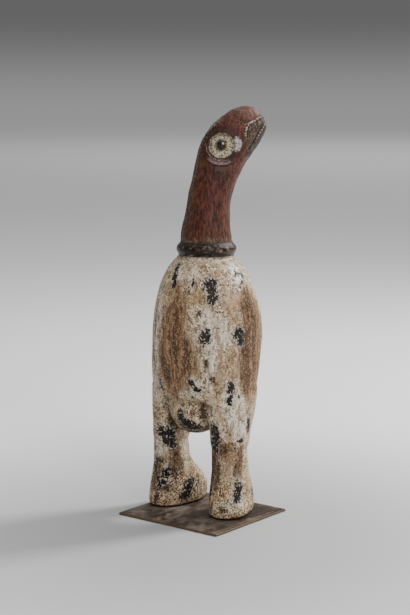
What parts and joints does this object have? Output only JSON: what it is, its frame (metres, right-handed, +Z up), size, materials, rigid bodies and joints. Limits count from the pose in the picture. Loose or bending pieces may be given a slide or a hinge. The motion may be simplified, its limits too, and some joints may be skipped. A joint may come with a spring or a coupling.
{
  "type": "zoomorphic figure",
  "caption": "Upright long-necked bird-like figure of carved, painted wood with a blunt beak and a collar ring, standing on a thin square steel plate.",
  "frame": {"origin": "middle of the plate's underside", "axes": "+Z up, the figure's body faces -Y and its left side is +X"},
  "size_m": [0.1544, 0.1608, 0.5002],
  "materials": {
    "painted_wood": "matt, crusty and worn cream, red-brown and black paint over brown wood",
    "patinated_steel": "dark brown-grey patina, satin, with lighter scuffs and bare edges"
  },
  "bodies": {
    "root": {"figure": "painted_wood", "base_plate": "patinated_steel"}
  },
  "joints": []
}
